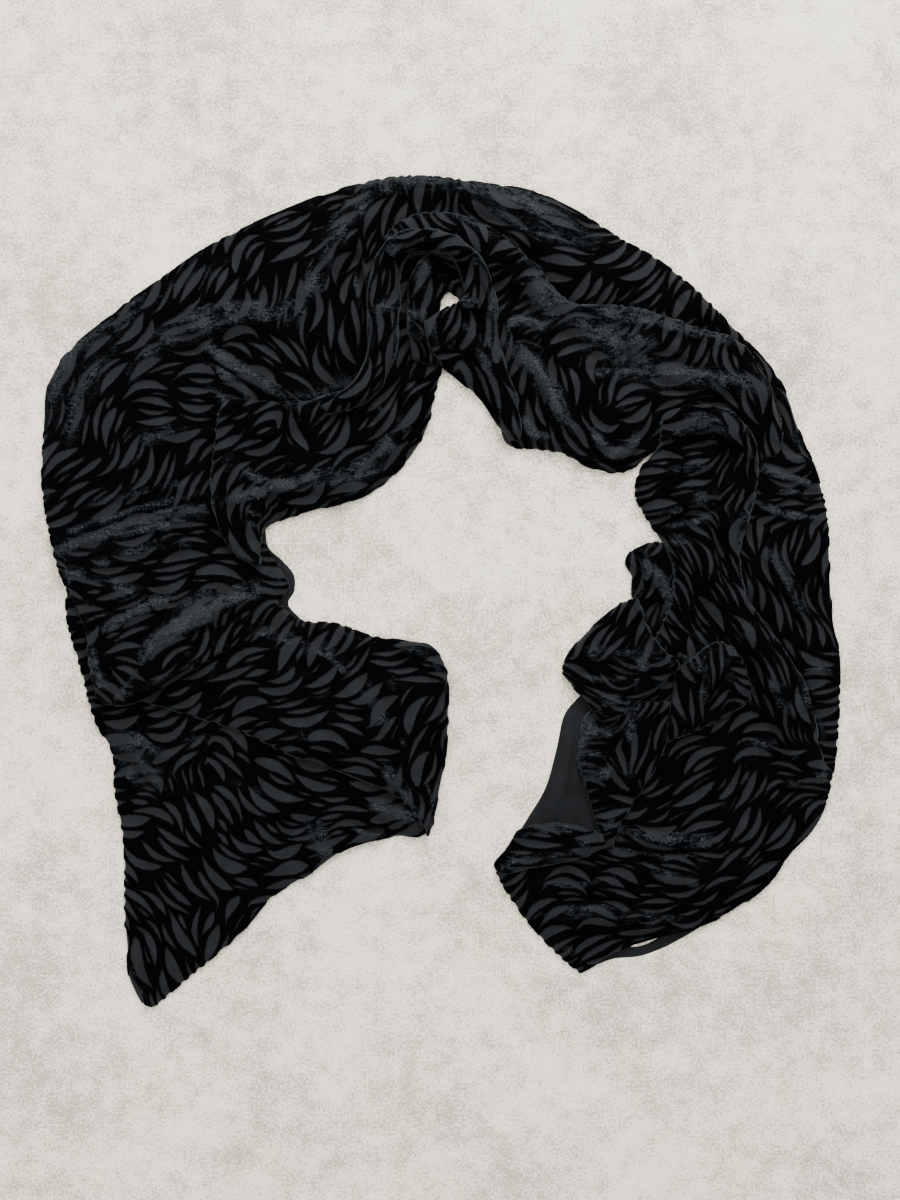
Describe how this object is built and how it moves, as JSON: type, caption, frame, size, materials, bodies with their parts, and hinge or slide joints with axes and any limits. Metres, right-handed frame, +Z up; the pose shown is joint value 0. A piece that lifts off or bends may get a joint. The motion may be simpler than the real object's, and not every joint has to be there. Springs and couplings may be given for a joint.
{
  "type": "velvet scarf",
  "caption": "A black burnt-out velvet scarf with a pattern of tapered leaf strokes and a thin dark lining, dropped flat in a loose open horseshoe.",
  "frame": {"origin": "on the table, at the middle of the scarf's outline seen from above", "axes": "+Z up from the table, +Y from the open side of the horseshoe to its closed top, +X to the right seen from above"},
  "size_m": [0.636, 0.6624, 0.0318],
  "materials": {
    "velvet": "black silk pile with burnt-out grey strokes",
    "lining": "plain dark grey chiffon"
  },
  "bodies": {
    "root": {"left_end_lower": "velvet", "left_end_upper": "velvet", "outer_left": "velvet", "outer_top": "velvet", "outer_right": "velvet", "left_lobe": "velvet", "neck_fold": "velvet", "top_fold": "velvet", "right_shoulder": "velvet", "arch_inner": "velvet", "arch_fold": "velvet", "right_swirl": "velvet", "right_panel": "velvet", "right_ruffle": "velvet", "right_lobe": "velvet", "right_pocket": "velvet", "right_frill": "velvet", "right_end_flap": "velvet", "hidden_left": "velvet", "hidden_top": "velvet", "hidden_right": "velvet", "lining_left": "lining", "lining_right": "lining", "lining_end": "lining"}
  },
  "joints": []
}
